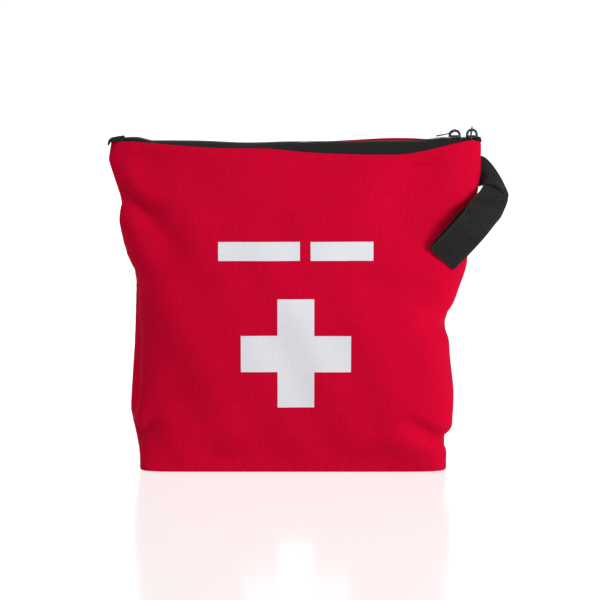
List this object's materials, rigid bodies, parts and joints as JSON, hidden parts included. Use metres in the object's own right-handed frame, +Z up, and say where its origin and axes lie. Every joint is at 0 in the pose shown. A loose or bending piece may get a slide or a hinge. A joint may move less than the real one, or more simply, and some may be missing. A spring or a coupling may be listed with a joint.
{
  "type": "first aid kit",
  "caption": "Soft first aid pouch with a two-slider zip along the top, a webbing hanging loop at one side, a plain cross on the front and a filled inside.",
  "frame": {"origin": "centre of the boxed base, on the surface the pouch stands on", "axes": "+Z up, +X to the right seen from the front, and the front panel with the cross faces -Y"},
  "size_m": [0.3026, 0.0769, 0.2609],
  "materials": {
    "red_cloth": "woven polyester, slight sheen",
    "binding_tape": "matte woven tape",
    "zip_tape": "matte woven tape",
    "zip_coil": "satin nylon coil",
    "zip_metal": "black painted, worn to metal on edges",
    "black_webbing": "ribbed woven webbing",
    "white_print": "matte screen print",
    "crepe": "stretch crepe weave",
    "gauze": "open cotton weave",
    "dressing_wrap": "smooth sealed paper",
    "foil": "crinkled metallised film",
    "card": "smooth white card",
    "plaster_strip": "waxed paper sleeves",
    "glove_film": "soft film pouch",
    "sachet_foil": "sealed foil sachet",
    "paper_tape": "microporous paper tape",
    "core_plastic": "moulded plastic ring",
    "clear_film": "folded film pouch",
    "steel": "brushed stainless steel",
    "paper": "folded uncoated paper"
  },
  "bodies": {
    "root": {"front_panel": "red_cloth", "base_panel": "red_cloth", "side_binding_left": "binding_tape", "side_binding_right": "binding_tape", "base_binding": "binding_tape", "front_zip_tape": "zip_tape", "front_coil": "zip_coil", "zip_end_stops": "zip_metal", "tape_end_left": "zip_tape", "tape_end_right": "zip_tape", "cross_print": "white_print", "label_bars": "white_print", "crepe_bandage": "crepe", "conforming_bandage_large": "gauze", "conforming_bandage_small": "gauze", "triangular_bandage": "gauze", "dressing_large": "dressing_wrap", "dressing_medium": "dressing_wrap", "eye_pad": "dressing_wrap", "foil_blanket": "foil", "plaster_box": "card", "plaster_box_lid": "card", "adhesive_plasters": "plaster_strip", "gloves_pack": "glove_film", "cleansing_wipes": "sachet_foil", "burn_gel_sachets": "sachet_foil", "tape_roll": "paper_tape", "tape_core": "core_plastic", "face_shield_pack": "clear_film", "safety_pins": "steel", "pin_card": "card", "tweezers": "steel", "scissor_blade_fixed": "steel", "scissor_rivet": "steel", "guidance_leaflet": "paper"},
    "slider_left": {"slider_left": "zip_metal"},
    "slider_right": {"slider_right": "zip_metal"},
    "pull_left": {"pull_tab_left": "zip_metal"},
    "pull_right": {"pull_tab_right": "zip_metal"},
    "mouth": {"back_panel": "red_cloth", "back_zip_tape": "zip_tape", "back_coil": "zip_coil"},
    "hanging_loop": {"webbing_loop": "black_webbing"},
    "scissor_half": {"scissor_blade_moving": "steel"}
  },
  "joints": [
    {"name": "slider_left_slide", "type": "slide", "parent": "root", "child": "slider_left", "axis": [-1, 0, 0], "range_m": [0, 0.245]},
    {"name": "slider_right_slide", "type": "slide", "parent": "root", "child": "slider_right", "axis": [-1, 0, 0], "range_m": [0, 0.003]},
    {"name": "pull_left_tilt", "type": "hinge", "parent": "slider_left", "child": "pull_left", "pos_m": [0.1232, 0, 0.2547], "axis": [0, 1, 0], "range_deg": [0, 110]},
    {"name": "pull_right_tilt", "type": "hinge", "parent": "slider_right", "child": "pull_right", "pos_m": [0.1362, 0, 0.2583], "axis": [1, 0, 0], "range_deg": [0, 228]},
    {"name": "mouth_open", "type": "hinge", "parent": "root", "child": "mouth", "pos_m": [0, 0.0297, 0.0017], "axis": [-1, 0, 0], "range_deg": [0, 9.2], "deforming": ["back_panel", "back_zip_tape", "back_coil"]},
    {"name": "loop_swing", "type": "hinge", "parent": "root", "child": "hanging_loop", "pos_m": [0.1445, 0, 0.2265], "axis": [0, 0, 1], "range_deg": [0, 100]},
    {"name": "scissors_open", "type": "hinge", "parent": "root", "child": "scissor_half", "pos_m": [0.048, 0.0253, 0.074], "axis": [0, -1, 0], "range_deg": [0, 25]}
  ],
  "couplings": [
    {"joint": "mouth_open", "follows": "slider_left_slide", "rad_per_m": 0.655}
  ]
}
